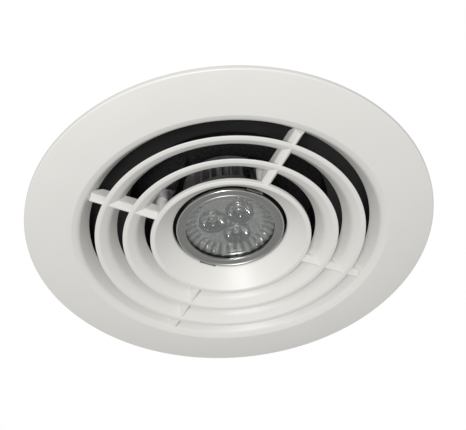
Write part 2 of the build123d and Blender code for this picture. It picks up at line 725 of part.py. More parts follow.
with BuildPart() as lid:
    with BuildSketch(Plane.XY.offset(BOX_TOP)):
        with Locations((0, box_mid_y)):
            RectangleRounded(BOX_X, box_y, 3.0)
    extrude(amount=BOX_WALL)
    fillet(lid.edges().group_by(Axis.Z)[-1], 0.7)
    with BuildSketch(Plane.XY.offset(BOX_TOP)):
        with Locations((0, box_mid_y)):
            RectangleRounded(BOX_X - 2 * BOX_WALL - 0.3, box_y - 2 * BOX_WALL - 0.3, 1.5)
            RectangleRounded(BOX_X - 4 * BOX_WALL, box_y - 4 * BOX_WALL, 1.0, mode=Mode.SUBTRACT)
    extrude(amount=-1.5)
save(lid, "terminal_lid")

with BuildPart() as bar:
    with BuildSketch(Plane.XY.offset(POST_TOP)):
        with Locations((CLAMP_X, CLAMP_Y)):
            RectangleRounded(4.6, 2 * CLAMP_POST + 3.6, 1.2)
        with Locations(*post_spots):
            Circle(1.15, mode=Mode.SUBTRACT)
    extrude(amount=2.0)
save(bar, "cable_clamp")
save(pan_screw([Plane((*spot, POST_TOP + 2.0)) for spot in post_spots], 1.0, 6.0, 1.9, 1.3), "cable_clamp_screws")

# ---- Two-pole terminal block: insulating body, brass tubes, clamping screws and its fixing screw ----
screw_ys = (BLOCK_Y0 + 2.4, BLOCK_Y1 - 2.4)
pole_xs = (-TERMINAL_X, TERMINAL_X)
TUBE_R = 2.1
well_spots = [(x, y) for x in pole_xs for y in screw_ys]
FIX_SEAT = 59.4
with BuildPart() as block:
    with BuildSketch(Plane.XY.offset(BOX_FLOOR)):
        with Locations((0, block_mid_y)):
            RectangleRounded(BLOCK_X, BLOCK_Y1 - BLOCK_Y0, 1.2)
    extrude(amount=BLOCK_H)
    with BuildSketch(Plane.XZ.offset(-BLOCK_Y1 - 1)):
        with Locations(*[(x, LEAD_Z) for x in pole_xs]):
            Circle(TUBE_R + 0.05)
    extrude(amount=BLOCK_Y1 - BLOCK_Y0 + 2, mode=Mode.SUBTRACT)
    with BuildSketch(Plane.XY.offset(LEAD_Z)):
        with Locations(*well_spots):
            Circle(1.7)
    extrude(amount=BLOCK_H, mode=Mode.SUBTRACT)
    with BuildSketch(Plane.XY.offset(BOX_FLOOR)):
        with Locations((0, block_mid_y)):
            Circle(1.25)
    extrude(amount=BLOCK_H, mode=Mode.SUBTRACT)
    with BuildSketch(Plane.XY.offset(FIX_SEAT)):
        with Locations((0, block_mid_y)):
            Circle(1.9)
    extrude(amount=BLOCK_H, mode=Mode.SUBTRACT)
save(block, "terminal_block")

with BuildPart() as tubes:
    with BuildSketch(Plane.XZ.offset(0.4 - BLOCK_Y1)):
        with Locations(*[(x, LEAD_Z) for x in pole_xs]):
            Circle(TUBE_R)
            Circle(1.2, mode=Mode.SUBTRACT)
    extrude(amount=BLOCK_Y1 - BLOCK_Y0 - 0.8)
    with BuildSketch(Plane.XY.offset(LEAD_Z)):
        with Locations(*well_spots):
            Circle(1.1)
    extrude(amount=TUBE_R + 1, mode=Mode.SUBTRACT)
save(tubes, "terminal_tubes")

well_seats = [Plane((*spot, LEAD_Z + TUBE_R + 0.3)) for spot in well_spots]
save(pan_screw(well_seats, 1.05, TUBE_R - LEAD_R + 0.15, 1.55, 1.4), "terminal_screws")
save(pan_screw([Plane((0, block_mid_y, FIX_SEAT))], 1.1, 8.0, 1.75, 1.5), "terminal_fixing_screw")

# ---- Leads from the lampholder's contacts, up through the strap and into the terminal block ----
LEAD_START = 46.6
for name, pole_x, spot in (("live", pole_xs[0], pin_spots[1]), ("neutral", pole_xs[1], pin_spots[0])):
    start = strap_plane(LEAD_START).from_local_coords((*spot, 0))
    corner = Vector(start.X, start.Y, LEAD_Z)
    turn = Vector(pole_x, BLOCK_Y0 - 1.2, LEAD_Z)
    end = Vector(pole_x, BLOCK_Y0 + 3.8, LEAD_Z)
    runs = [(corner - start).length, (turn - corner).length, (end - turn).length]
    bend = radians((turn - corner).get_angle(end - turn))
    radii = [0.45 * min(runs[:2]), 0.45 * min(runs[1:]) / (sin(bend / 2) / cos(bend / 2))]
    with BuildPart() as lead:
        with BuildLine() as route:
            FilletPolyline(start, corner, turn, end, radius=radii)
        with BuildSketch(Plane(origin=route.line @ 0, z_dir=route.line % 0)):
            Circle(LEAD_R)
        sweep()
    print(name, "lead", round(route.wires()[0].length, 2), "mm, radii", [round(r, 1) for r in radii])
    save(lead, f"lampholder_lead_{name}")

# ---- Lamp: front ring, cover glass, reflector, lenses, LED board, heat sink, driver, base and pins ----
with BuildPart() as rim:
    with BuildSketch(Plane.XZ) as section:
        Polygon(
            (WINDOW_R, LAMP_Z + 0.4),
            (LAMP_R - 0.8, LAMP_Z + 0.4),
            (LAMP_R - 0.8, LAMP_Z),
            (LAMP_R, LAMP_Z),
            (LAMP_R, 9.0),
            (LAMP_R - 0.8, 9.0),
            (LAMP_R - 0.8, GLASS_Z),
            (WINDOW_R, GLASS_Z),
            align=None,
        )
        fillet(section.vertices().group_by(Axis.Y)[0], 0.25)
    revolve(axis=Axis.Z)
save(rim, "lamp_front_ring")

GLASS_R = LAMP_R - 0.9
with BuildPart() as glass:
    with BuildSketch(Plane.XY.offset(GLASS_Z)):
        Circle(GLASS_R)
    extrude(amount=GLASS_T)
save(glass, "lamp_cover_glass")

CAVITY_R = PLUG_R + 0.2
CORE_R = 16.0
FIN_BASE = 10.6
PLUG_BASE = 27.6
glass_back = GLASS_Z + GLASS_T
with BuildPart() as sink:
    with BuildSketch(Plane.XZ):
        Polygon(
            (0, BOARD_Z),
            (CUP_IN, BOARD_Z),
            (CUP_IN, glass_back),
            (GLASS_R, glass_back),
            (GLASS_R, 9.05),
            (LAMP_R - 0.3, 9.05),
            (LAMP_R - 0.3, FIN_BASE),
            (LAMP_R - 1.5, BOARD_Z + 1.8),
            (CORE_R, BOARD_Z + 1.8),
            (CORE_R, SINK_TOP - 1.8),
            (SINK_TOP_R, SINK_TOP - 1.8),
            (SINK_TOP_R, SINK_TOP),
            (CAVITY_R, SINK_TOP),
            (CAVITY_R, BOARD_Z + 2.7),
            (0, BOARD_Z + 2.7),
            align=None,
        )
    revolve(axis=Axis.Z)
    for k in range(FINS):
        with BuildSketch(radial_plane(360 / FINS * k)):
            Polygon(
                (CORE_R - 0.5, BOARD_Z + 0.8),
                (LAMP_R - 1.3, BOARD_Z + 0.8),
                (SINK_TOP_R - 0.2, SINK_TOP - 0.6),
                (CORE_R - 0.5, SINK_TOP - 0.6),
                align=None,
            )
        extrude(amount=0.5, both=True)
save(sink, "lamp_heat_sink")

LENS_SEAT = 7.6
DISH_R = 15.2
lens_spots = PolarLocations(LENS_CIRCLE_R, 3, start_angle=LENS_AZIMUTH)
with BuildPart() as reflector:
    with BuildSketch(Plane.XZ):
        Polygon(
            (0, LENS_SEAT),
            (DISH_R, LENS_SEAT),
            (WINDOW_R, glass_back + 0.3),
            (CUP_IN - 0.2, glass_back + 0.1),
            (CUP_IN - 0.2, glass_back + 1.0),
            (DISH_R, LENS_SEAT + 0.8),
            (0, LENS_SEAT + 0.8),
            align=None,
        )
    revolve(axis=Axis.Z)
    with BuildSketch(Plane.XY.offset(LENS_SEAT - 1)):
        with lens_spots:
            Circle(LENS_R - 0.9)
    extrude(amount=3, mode=Mode.SUBTRACT)
save(reflector, "lamp_reflector")

with BuildPart(mode=Mode.PRIVATE) as lens:
    with BuildSketch(Plane.XZ):
        Polygon(
            (0, LENS_SEAT - 1.2),
            (LENS_R, LENS_SEAT - 1.2),
            (LENS_R, LENS_SEAT),
            (LENS_R - 1.0, LENS_SEAT),
            (2.6, 10.7),
            (1.7, 10.7),
            (1.3, 9.2),
            (0, 9.2),
            align=None,
        )
    revolve(axis=Axis.Z)
with BuildPart() as lenses:
    with lens_spots:
        add(lens.part)
save(lenses, "tir_lenses")

with BuildPart() as board:
    with BuildSketch(Plane.XY.offset(BOARD_Z)):
        Circle(20.0)
        Circle(1.5, mode=Mode.SUBTRACT)
    extrude(amount=-1.0)
save(board, "led_board")

with BuildPart() as emitters:
    with BuildSketch(Plane.XY.offset(BOARD_Z - 1.0)):
        with lens_spots:
            Rectangle(3.0, 3.0)
    extrude(amount=-0.6)
save(emitters, "led_emitters")

with BuildPart() as driver:
    with BuildSketch(Plane.XY.offset(PLUG_BASE)):
        Circle(PLUG_R - 0.5)
    extrude(amount=-1.2)
save(driver, "driver_board")

driver_face = PLUG_BASE - 1.2
with BuildPart() as driver_parts:
    with BuildSketch(Plane.XY.offset(driver_face)):
        with Locations((5.4, 2.0)):
            Circle(3.2)
    extrude(amount=-8.0)
    with BuildSketch(Plane.XY.offset(driver_face)):
        with Locations((-4.6, 4.6)):
            Circle(3.6)
            Circle(1.4, mode=Mode.SUBTRACT)
    extrude(amount=-4.0)
    with BuildSketch(Plane.XY.offset(driver_face)):
        with Locations((-3.0, -5.0)):
            Rectangle(6.0, 4.0)
        with Locations((4.5, -5.6)):
            Rectangle(3.0, 1.6)
    extrude(amount=-1.4)
save(driver_parts, "driver_parts")

with BuildPart() as base:
    with BuildSketch(Plane.XY.offset(PLUG_BASE)):
        Circle(PLUG_R)
    extrude(amount=SINK_TOP - PLUG_BASE)
    with BuildSketch(Plane.XY.offset(SINK_TOP)):
        Circle(BASE_R)
    extrude(amount=BASE_TOP - SINK_TOP)
    fillet(base.edges().group_by(Axis.Z)[-1], 1.2)
    with BuildSketch(strap_plane(BASE_TOP)):
        with Locations(*pin_spots):
            Circle(LAMP_PIN_R + 0.02)
    extrude(amount=-6.0, mode=Mode.SUBTRACT)
save(base, "lamp_base")

with BuildPart() as pins:
    with BuildSketch(strap_plane(BASE_TOP - 6.0)):
        with Locations(*pin_spots):
            Circle(LAMP_PIN_R)
    extrude(amount=PIN_TOP - BASE_TOP + 6.0)
    fillet(pins.edges().group_by(Axis.Z)[-1], 0.35)
save(pins, "lamp_pins")
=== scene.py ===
"""Round ceiling grille for a ducted fan, with an LED spot lamp in it. Metres; the ceiling is at z = 0."""

from math import atan2, cos, hypot, pi, radians, sin, tau

import bmesh
import bpy
from mathutils import Matrix, Quaternion, Vector
from mathutils import noise as field


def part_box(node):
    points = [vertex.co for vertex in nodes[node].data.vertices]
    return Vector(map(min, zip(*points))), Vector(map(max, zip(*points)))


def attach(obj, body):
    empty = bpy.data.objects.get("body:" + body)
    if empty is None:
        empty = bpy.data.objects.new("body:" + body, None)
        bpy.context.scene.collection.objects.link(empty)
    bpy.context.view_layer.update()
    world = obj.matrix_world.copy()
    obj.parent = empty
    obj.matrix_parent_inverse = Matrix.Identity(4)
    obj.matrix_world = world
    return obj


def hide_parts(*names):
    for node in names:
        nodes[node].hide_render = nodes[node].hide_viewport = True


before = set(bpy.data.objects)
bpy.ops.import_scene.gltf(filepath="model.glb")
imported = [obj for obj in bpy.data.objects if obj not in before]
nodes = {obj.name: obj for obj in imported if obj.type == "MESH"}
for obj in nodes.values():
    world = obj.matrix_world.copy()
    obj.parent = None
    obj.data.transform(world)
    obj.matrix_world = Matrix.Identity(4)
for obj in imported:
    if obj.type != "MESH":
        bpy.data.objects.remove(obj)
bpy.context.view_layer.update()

# ---- Grille moulding ----
# One injection moulding in off-white ABS: a sloping flange with a lip, two conical blades and a bezel,
# joined by four ribs. The visible face has a fine spark-eroded grain, and the back carries the skirt and
# four screw bosses.


class Value:
    """A socket in a material. Arithmetic on it adds Math nodes."""

    def __init__(self, finish, socket):
        self.finish = finish
        self.socket = socket

    def math(self, operation, *terms, clamp=False):
        return self.finish.node(
            "ShaderNodeMath", {"operation": operation, "use_clamp": clamp}, dict(enumerate(terms)))

    def __add__(self, other):
        return self.math("ADD", self, other)

    __radd__ = __add__

    def __sub__(self, other):
        return self.math("SUBTRACT", self, other)

    def __rsub__(self, other):
        return self.math("SUBTRACT", other, self)

    def __mul__(self, other):
        return self.math("MULTIPLY", self, other)

    __rmul__ = __mul__

    def __pow__(self, other):
        return self.math("POWER", self, other)

    def clamped(self):
        return self.math("ADD", self, 0.0, clamp=True)


class Finish:
    """A material. node() adds a node: its settings first, then the values or links of its sockets."""

    def __init__(self, name):
        self.material = bpy.data.materials.new(name)
        self.material.use_nodes = True
        self.tree = self.material.node_tree
        self.tree.nodes.clear()

    def node(self, kind, settings=None, sockets=None, output=0):
        made = self.tree.nodes.new(kind)
        for key, value in (settings or {}).items():
            if key == "stops":
                for stop, (place, shade) in zip(made.color_ramp.elements, value):
                    stop.position = place
                    stop.color = (shade, shade, shade, 1)
            else:
                setattr(made, key, value)
        for key, value in (sockets or {}).items():
            if isinstance(value, Value):
                self.tree.links.new(value.socket, made.inputs[key])
            else:
                made.inputs[key].default_value = value
        return Value(self, made.outputs[output] if made.outputs else None)

    def place(self):
        return self.node("ShaderNodeTexCoord", output=3)

    def noise(self, scale, detail=3.0, roughness=0.5, vector=None):
        sockets = {"Vector": vector or self.place(), "Scale": scale, "Detail": detail, "Roughness": roughness}
        return self.node("ShaderNodeTexNoise", {}, sockets)

    def axes(self):
        """The object's x, y and z as three values."""
        split = self.node("ShaderNodeSeparateXYZ", {}, {0: self.place()})
        return [Value(self, split.socket.node.outputs[k]) for k in range(3)]

    def blend(self, amount, first, second):
        """A colour between two others."""
        sockets = {0: amount, 6: (*first, 1) if isinstance(first, tuple) else first}
        sockets[7] = (*second, 1) if isinstance(second, tuple) else second
        return self.node("ShaderNodeMix", {"data_type": "RGBA"}, sockets, 2)

    def bump(self, height, distance, strength=1.0):
        return self.node("ShaderNodeBump", {}, {"Height": height, "Distance": distance, "Strength": strength})

    def shade(self, **sockets):
        """A Principled surface: names as on the shader, with _ for a space."""
        named = {key.replace("_", " "): value for key, value in sockets.items()}
        if isinstance(named.get("Base Color"), tuple):
            named["Base Color"] = (*named["Base Color"], 1)
        return self.node("ShaderNodeBsdfPrincipled", {}, named)

    def finished(self, surface):
        self.node("ShaderNodeOutputMaterial", {}, {"Surface": surface})
        return self.material


def moulded(name, colour, shadow, roughness, grain=2200.0, depth=0.00003):
    """Moulded plastic: slow drifts in tone and gloss, fine grain, and a few faint scuffs."""
    finish = Finish(name)
    drift = finish.noise(14.0, 2.0)
    cloud = finish.noise(55.0, 4.0, 0.6)
    tone = ((drift - 0.5) * 0.9 + (cloud - 0.5) * 0.5 + 0.5).clamped()
    scuffs = (finish.noise(420.0, 6.0, 0.75) - 0.62).clamped() * 1.2
    texture = finish.noise(grain, 2.0, 0.6)
    rough = (cloud - 0.5) * 0.16 + roughness + scuffs * 0.3
    return finish.finished(finish.shade(
        Base_Color=finish.blend(tone, shadow, colour),
        Roughness=rough,
        Normal=finish.bump(texture, depth, 0.35),
        IOR=1.5,
    ))


def piece(name, shape, body, slot, material, sharp=35.0, *replaced):
    """Finish a bmesh as a piece: shaded, riding its body, standing for its CAD nodes."""
    mesh = bpy.data.meshes.new(name)
    shape.to_mesh(mesh)
    shape.free()
    mesh.polygons.foreach_set("use_smooth", [True] * len(mesh.polygons))
    mesh.set_sharp_from_angle(angle=radians(sharp))
    mesh.materials.append(material)
    made = bpy.data.objects.new(name, mesh)
    bpy.context.scene.collection.objects.link(made)
    weights = made.modifiers.new("weighted_normals", "WEIGHTED_NORMAL")
    weights.keep_sharp = True
    weights.weight = 80
    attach(made, body)
    if replaced:
        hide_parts(*replaced)
    return made


def turn(shape, outline, rounds=None, steps=192, segments=3):
    """Turn (radius, height) points about z. An outline that starts on the axis also ends there, and any
    other is closed. rounds gives each point's rounding."""
    ring = [shape.verts.new((r, 0, z)) for r, z in outline]
    ends = zip(ring, ring[1:]) if outline[0][0] == 0 else zip(ring, ring[1:] + ring[:1])
    for start, end in list(ends):
        shape.edges.new((start, end))
    corners = {}
    for vert, radius in zip(ring, rounds or []):
        if radius:
            corners.setdefault(radius, []).append(vert)
    for radius, verts in corners.items():
        bmesh.ops.bevel(
            shape, geom=verts, offset=radius, offset_type="OFFSET", affect="VERTICES",
            segments=segments, profile=0.5, material=-1)
    drawn = [e for e in shape.edges if e.is_wire]
    points = list(dict.fromkeys(v for e in drawn for v in e.verts))
    bmesh.ops.spin(
        shape, geom=points + drawn, cent=(0, 0, 0), axis=(0, 0, 1), dvec=(0, 0, 0),
        angle=tau, steps=steps, use_merge=True, use_duplicate=False)
    bmesh.ops.remove_doubles(shape, verts=shape.verts, dist=1e-7)
    bmesh.ops.recalc_face_normals(shape, faces=shape.faces)


def combined(parts, operation="UNION"):
    """The union of closed bmeshes, or the first less the others, as one bmesh."""
    objects = []
    for part in parts:
        bmesh.ops.recalc_face_normals(part, faces=part.faces)
        mesh = bpy.data.meshes.new("part")
        part.to_mesh(mesh)
        part.free()
        held = bpy.data.objects.new("part", mesh)
        bpy.context.scene.collection.objects.link(held)
        objects.append(held)
    first = objects[0]
    for other in objects[1:]:
        step = first.modifiers.new("combine", "BOOLEAN")
        step.operation = operation
        step.solver = "EXACT"
        step.object = other
    bpy.context.view_layer.update()
    whole = bpy.data.meshes.new_from_object(first.evaluated_get(bpy.context.evaluated_depsgraph_get()))
    shape = bmesh.new()
    shape.from_mesh(whole)
    for held in objects:
        mesh = held.data
        bpy.data.objects.remove(held)
        bpy.data.meshes.remove(mesh)
    bpy.data.meshes.remove(whole)
    return shape


face_z = -0.0050
crease_z = -0.0047
deep_z = 0.0028
pitch = 0.01245
land = 0.0020
blade_run = 0.0079
shoulder_run = 0.0041
shoulder_z = -0.0024
blade = 0.0020
bezel_r = 0.0368
lamp_hole_r = 0.0265
lamp_hole_z = 0.0034
skirt_out = 0.0696
skirt_in = 0.0676
skirt_top = 0.0100
flange_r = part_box("grille_moulding")[1].x
rib_azimuth = radians(28.1)
crease_r = bezel_r + 3 * pitch - land
quarter_turns = [rib_azimuth + k * pi / 2 for k in range(4)]


def upright(azimuth):
    """The matrix that stands a shape drawn in (x outwards, y along the circle, z up) at an azimuth."""
    return Matrix.Rotation(azimuth, 4, "Z")


flange_edge_z = -0.0023
groove_in, groove_out, groove_z = 0.0819, 0.0891, -0.0012
hollow_in, hollow_out = 0.0736, 0.0806
flange = bmesh.new()
turn(flange, [
    (crease_r, crease_z),
    (crease_r + 0.0070, -0.0042),
    (crease_r + 0.0140, -0.0034),
    (flange_r, flange_edge_z),
    (flange_r, 0),
    (groove_out, 0),
    (groove_out, groove_z),
    (groove_in, groove_z),
    (groove_in, 0),
    (hollow_out, 0),
    (hollow_out, -0.0016),
    (hollow_in, -0.0024),
    (hollow_in, 0),
    (skirt_out, 0),
    (skirt_out, skirt_top),
    (skirt_in, skirt_top),
    (skirt_in, 0.0007),
    (crease_r - 0.0067, 0.0036),
    (crease_r - 0.0078, 0.0026),
    (crease_r - 0.0032, -0.0036),
], [0.0004, 0.0030, 0.0030, 0.0007, 0.0003, 0, 0, 0, 0, 0, 0, 0, 0, 0, 0.0004, 0.0004, 0.0004, 0.0004, 0.0004,
    0.0012])
grille_parts = [flange]
blade_rise = deep_z - shoulder_z
steep_run = blade_run - shoulder_run
steep = hypot(steep_run, blade_rise)
for blade_r in (bezel_r + pitch, bezel_r + 2 * pitch):
    ring = bmesh.new()
    deep_r = blade_r - land - blade_run
    back_r = deep_r + blade * blade_rise / steep
    back_z = deep_z + blade * steep_run / steep
    back_shoulder_z = shoulder_z + 0.8 * blade
    turn(ring, [
        (blade_r, face_z),
        (blade_r - land, face_z),
        (deep_r + steep_run, shoulder_z),
        (deep_r, deep_z),
        (back_r, back_z),
        (back_r + (back_z - back_shoulder_z) * steep_run / blade_rise, back_shoulder_z),
        (blade_r, face_z + 0.0006),
    ], [0.0003, 0.0005, 0.0012, 0.0004, 0.0004, 0.0008, 0.0002])
    grille_parts.append(ring)
bezel = bmesh.new()
turn(bezel, [
    (bezel_r, crease_z),
    (bezel_r - land, crease_z),
    (lamp_hole_r, lamp_hole_z),
    (lamp_hole_r, lamp_hole_z + 0.0020),
    (lamp_hole_r + 0.0020, lamp_hole_z + 0.0020),
    (bezel_r, -0.0027),
], [0.0003, 0.0004, 0.0004, 0.0003, 0.0003, 0.0003])
grille_parts.append(bezel)
rib_in = lamp_hole_r + 0.0030
ridge_half, rib_half = 0.0005, 0.0022
ridge_z, rib_eaves_z, rib_back_z = -0.0046, -0.0020, 0.0024
boss_hole_r, boss_r, boss_foot_z, boss_top_z, boss_circle_r = 0.00115, 0.0028, 0.0006, 0.0080, 0.0340
for azimuth in quarter_turns:
    rib = bmesh.new()
    section = [rib.verts.new((rib_in, y, z)) for y, z in (
        (-ridge_half, ridge_z),
        (ridge_half, ridge_z),
        (rib_half, rib_eaves_z),
        (rib_half, rib_back_z),
        (-rib_half, rib_back_z),
        (-rib_half, rib_eaves_z),
    )]
    web = bmesh.ops.extrude_face_region(rib, geom=[rib.faces.new(section)])
    far_end = [v for v in web["geom"] if isinstance(v, bmesh.types.BMVert)]
    bmesh.ops.translate(rib, vec=(crease_r + 0.0001 - rib_in, 0, 0), verts=far_end)
    long_edges = [e for e in rib.edges if e.calc_length() > 0.02 and e.verts[0].co.z < 0]
    bmesh.ops.bevel(
        rib, geom=long_edges, offset=0.00035, affect="EDGES", segments=3, profile=0.5, material=-1)
    for point, across in (
            ((bezel_r - 0.0013, 0, ridge_z), (-0.0070, 0, -0.0060)),
            ((crease_r - 0.0002, 0, ridge_z), (0.0024, 0, 0.0016)),
            ((crease_r - 0.0016, 0, -0.0022), (0.0017, 0, 0.0030)),
            ((skirt_in - 0.0001, 0, 0), (1, 0, 0)),
    ):
        half = bmesh.ops.bisect_plane(
            rib, geom=rib.verts[:] + rib.edges[:] + rib.faces[:],
            plane_co=point, plane_no=across, clear_outer=True)
        cut = [e for e in half["geom_cut"] if isinstance(e, bmesh.types.BMEdge)]
        bmesh.ops.contextual_create(rib, geom=cut)
    bmesh.ops.recalc_face_normals(rib, faces=rib.faces)
    bmesh.ops.transform(rib, matrix=upright(azimuth), verts=rib.verts)
    grille_parts.append(rib)
    boss = bmesh.new()
    turn(boss, [
        (boss_hole_r, blade),
        (boss_r, boss_foot_z),
        (boss_r, boss_top_z),
        (boss_hole_r, boss_top_z),
    ], [0, 0, 0.0002, 0.0002], 32, 2)
    stood = upright(azimuth) @ Matrix.Translation((boss_circle_r, 0, 0))
    bmesh.ops.transform(boss, matrix=stood, verts=boss.verts)
    grille_parts.append(boss)
off_white = moulded("off_white_abs", (0.735, 0.725, 0.695), (0.70, 0.69, 0.66), 0.42)
piece("moulded_grille", combined(grille_parts), "root", "white_abs", off_white, 35.0,
      "grille_moulding", "grille_skirt")

# ---- Foam gasket ----
# A closed-cell foam ring let into the groove in the flange's back. It is die-cut and self-adhesive, and
# squashes a little against the ceiling.

gasket_in, gasket_out = 0.0820, 0.0890


def foamed(name, colour, painted_pore_shade, cell, depth):
    """Foam: round cells of two sizes with painted shade on their floors, and slow changes of tone."""
    finish = Finish(name)
    wobble = finish.noise(cell * 0.6, 2.0)
    cells = finish.node("ShaderNodeTexVoronoi", {"feature": "SMOOTH_F1"}, {
        "Vector": finish.place(), "Scale": cell, "Smoothness": 0.6, "Randomness": 1.0})
    fine = finish.node("ShaderNodeTexVoronoi", {}, {"Vector": finish.place(), "Scale": cell * 2.3})
    walls = (cells * 1.5 + fine * 0.4 + (wobble - 0.5) * 0.3).clamped()
    drift = finish.noise(25.0, 3.0)
    # The cells' floors take the darker colour as painted shade in the pores.
    return finish.finished(finish.shade(
        Base_Color=finish.blend((walls * 0.8 + (drift - 0.5) * 0.3).clamped(), painted_pore_shade, colour),
        Roughness=walls * 0.1 + 0.85,
        Normal=finish.bump(walls, depth, 0.8),
        Specular_IOR_Level=0.2,
    ))


gasket = bmesh.new()
turn(gasket, [(gasket_in, groove_z), (gasket_out, groove_z), (gasket_out, 0), (gasket_in, 0)],
     [0.0001, 0.0001, 0.0004, 0.0004])
grey_foam = foamed("closed_cell_foam", (0.085, 0.085, 0.088), (0.03, 0.03, 0.032), 1400.0, 0.0002)
piece("gasket_ring", gasket, "root", "foam", grey_foam, 40.0, "foam_gasket")

# ---- Duct adaptor ----
# A collar, an annular plate and a spigot in black polypropylene, welded to one another. The collar slides
# over the grille's skirt and four pan-head screws hold it. The plate has a rubber grommet for the supply
# cable.

black_plastic = moulded(
    "black_polypropylene", (0.022, 0.022, 0.023), (0.014, 0.014, 0.015), 0.46, 1500.0, 0.00005)


def dress(material, *names):
    """Give CAD nodes a material."""
    for name in names:
        node = nodes[name]
        if not node.material_slots:
            node.data.materials.append(material)
        for held in node.material_slots:
            held.material = material


def metal(name, bright, dull, roughness, brush=(1, 1, 1), scale=900.0, depth=0.000012, spangle=0.0):
    """Metal: a drawn or ground grain stretched by brush, patches of tarnish, and crystals if it is plated."""
    finish = Finish(name)
    stretched = finish.node("ShaderNodeMapping", {}, {"Vector": finish.place(), "Scale": brush})
    grain = finish.noise(scale, 3.0, 0.6, stretched)
    patches = finish.noise(60.0, 4.0, 0.65)
    tone = (patches - 0.5) * 1.2 + 0.5 + (grain - 0.5) * 0.35
    rough = (patches - 0.5) * 0.25 + (grain - 0.5) * 0.18 + roughness
    if spangle:
        crystals = finish.node("ShaderNodeTexVoronoi", {}, {"Vector": finish.place(), "Scale": 260.0}, 1)
        facet = finish.node("ShaderNodeSeparateXYZ", {}, {0: crystals})
        tone = tone + (facet - 0.5) * spangle
        rough = rough + (facet - 0.5) * spangle * 0.4
    return finish.finished(finish.shade(
        Base_Color=finish.blend(tone.clamped(), dull, bright),
        Metallic=1.0,
        Roughness=rough.clamped(),
        Normal=finish.bump(grain, depth, 0.5),
    ))


screw_steel = metal("stainless_screws", (0.66, 0.66, 0.65), (0.48, 0.48, 0.47), 0.24)
rubber = moulded("black_rubber", (0.030, 0.030, 0.030), (0.018, 0.018, 0.018), 0.72, 1800.0, 0.00004)
dress(black_plastic, "adaptor_collar", "adaptor_plate", "duct_spigot")
dress(screw_steel, "adaptor_screws")
dress(rubber, "cable_grommet")

# ---- Foam filter ----
# A washable disc of open-cell foam pressed into the spigot. It is die-cut, with a hole for the lamp's base
# and a slit for each leg of the strap, and its faces are slightly uneven.

filter_low, filter_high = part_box("foam_filter")
filter_hole_r = 0.0120
knee_r, strap_top_r, boss_top, strap_under = 0.0305, 0.0195, 0.0080, 0.0500
leg_slope = (knee_r - strap_top_r) / (strap_under - boss_top)
filter_shape = bmesh.new()
radii = [filter_hole_r, 0.0180, 0.0250, 0.0320, 0.0390, filter_high.x]
turn(filter_shape,
     [(r, filter_low.z) for r in radii] + [(r, filter_high.z) for r in reversed(radii)],
     [0.0005, 0, 0, 0, 0, 0.0005, 0.0005, 0, 0, 0, 0, 0.0005], 120, 2)

slit_half = 0.0082
slit_in, slit_out = 0.0002, 0.00144
slit_low, slit_high = filter_low.z - 0.001, filter_high.z + 0.001
slits = []
for side in (-1, 1):
    low_r = knee_r - (slit_low - boss_top) * leg_slope
    high_r = knee_r - (slit_high - boss_top) * leg_slope
    slit = bmesh.new()
    corners = [slit.verts.new((side * r, -slit_half, z)) for r, z in (
        (low_r - slit_in, slit_low),
        (low_r + slit_out, slit_low),
        (high_r + slit_out, slit_high),
        (high_r - slit_in, slit_high),
    )]
    wall = bmesh.ops.extrude_face_region(slit, geom=[slit.faces.new(corners)])
    far_side = [v for v in wall["geom"] if isinstance(v, bmesh.types.BMVert)]
    bmesh.ops.translate(slit, vec=(0, 2 * slit_half, 0), verts=far_side)
    bmesh.ops.transform(slit, matrix=upright(rib_azimuth), verts=slit.verts)
    bmesh.ops.recalc_face_normals(slit, faces=slit.faces)
    slits.append(slit)
filter_shape = combined([filter_shape] + slits, "DIFFERENCE")
bmesh.ops.triangulate(filter_shape, faces=[f for f in filter_shape.faces if len(f.verts) > 4])
for vert in filter_shape.verts:
    if hypot(vert.co.x, vert.co.y) < filter_high.x - 0.0006:
        vert.co.z += 0.00012 * field.noise(vert.co * 180)
black_foam = foamed("open_cell_foam", (0.026, 0.026, 0.026), (0.003, 0.003, 0.003), 620.0, 0.0006)
piece("filter_disc", filter_shape, "root", "filter_foam", black_foam, 40.0, "foam_filter")

# ---- Ceiling clips ----
# Three sprung clips: a zinc-plated bracket riveted to the collar, a pin, a torsion spring, and a spring-
# steel arm with a rubber pad at its tip. The arms fold up to pass the ceiling hole, then press down on the
# ceiling board.

zinc = metal(
    "zinc_plated_steel", (0.62, 0.63, 0.65), (0.43, 0.44, 0.46), 0.34, (1, 1, 1), 500.0, 0.00002, 0.35)
spring_steel = metal("spring_steel", (0.46, 0.46, 0.47), (0.30, 0.30, 0.31), 0.26, (1, 1, 0.06), 700.0)
pin_steel = metal("bright_steel_pins", (0.64, 0.64, 0.63), (0.50, 0.50, 0.49), 0.20, (0.1, 1, 1), 900.0)
for letter in "abc":
    dress(zinc, f"clip_bracket_{letter}")
    dress(pin_steel, f"clip_pin_{letter}")
    dress(spring_steel, f"clip_spring_{letter}", f"clip_arm_{letter}")
    dress(rubber, f"clip_pad_{letter}")
dress(zinc, "clip_rivets")

# ---- Lamp strap and lamp springs ----
# A folded zinc-plated strap on two of the bosses carries the lampholder. Two slotted hairpin springs on the
# other two stand beside the lamp's rim, and pan-head screws hold all four feet.

dress(zinc, "lamp_strap")
dress(spring_steel, "lamp_spring_near", "lamp_spring_far")
dress(screw_steel, "boss_screws")

# ---- Lampholder ----
# A ceramic block with two brass contact tubes for the lamp's pins, held under the strap by two screws and
# nuts. Two silicone-sleeved leads rise from it into the terminal box.


def fired(name, glaze, speck):
    """Unglazed ceramic: a chalky body with fine specks and a gritty surface."""
    finish = Finish(name)
    specks = (finish.noise(1500.0, 3.0, 0.7) - 0.64).clamped() * 6
    cloud = finish.noise(90.0, 3.0)
    return finish.finished(finish.shade(
        Base_Color=finish.blend((specks + (cloud - 0.5) * 0.3).clamped(), glaze, speck),
        Roughness=cloud * 0.15 + 0.6,
        Normal=finish.bump(finish.noise(1100.0, 4.0, 0.7), 0.00005, 0.5),
    ))


